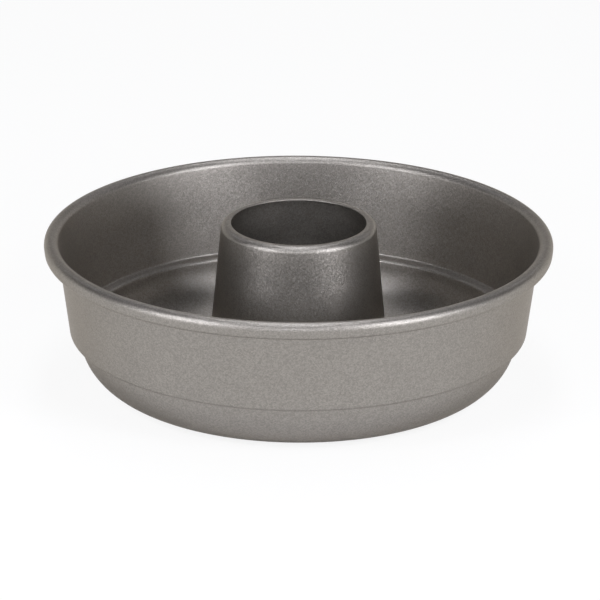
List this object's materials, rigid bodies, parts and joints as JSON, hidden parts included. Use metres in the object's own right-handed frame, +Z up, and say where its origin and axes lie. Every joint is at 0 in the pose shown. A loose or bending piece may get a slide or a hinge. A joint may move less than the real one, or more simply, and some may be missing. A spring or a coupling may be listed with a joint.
{
  "type": "ring cake pan",
  "caption": "Round ring cake pan with a flared, stepped wall, a rounded bottom edge, a rolled rim and a hollow tapered tube in the middle, for baking ring-shaped cakes.",
  "frame": {"origin": "centre of the plane that the pan rests on, on the pan's axis", "axes": "+Z up along the pan's axis, +X to the right in the picture, +Y away from the viewer"},
  "size_m": [0.26, 0.26, 0.0848],
  "materials": {
    "pan_coating": "satin champagne-grey metallic non-stick coating with a fine flake grain",
    "wire_steel": "drawn steel wire"
  },
  "bodies": {
    "root": {"pan_shell": "pan_coating", "centre_tube": "pan_coating", "rim_wire": "wire_steel"}
  },
  "joints": []
}
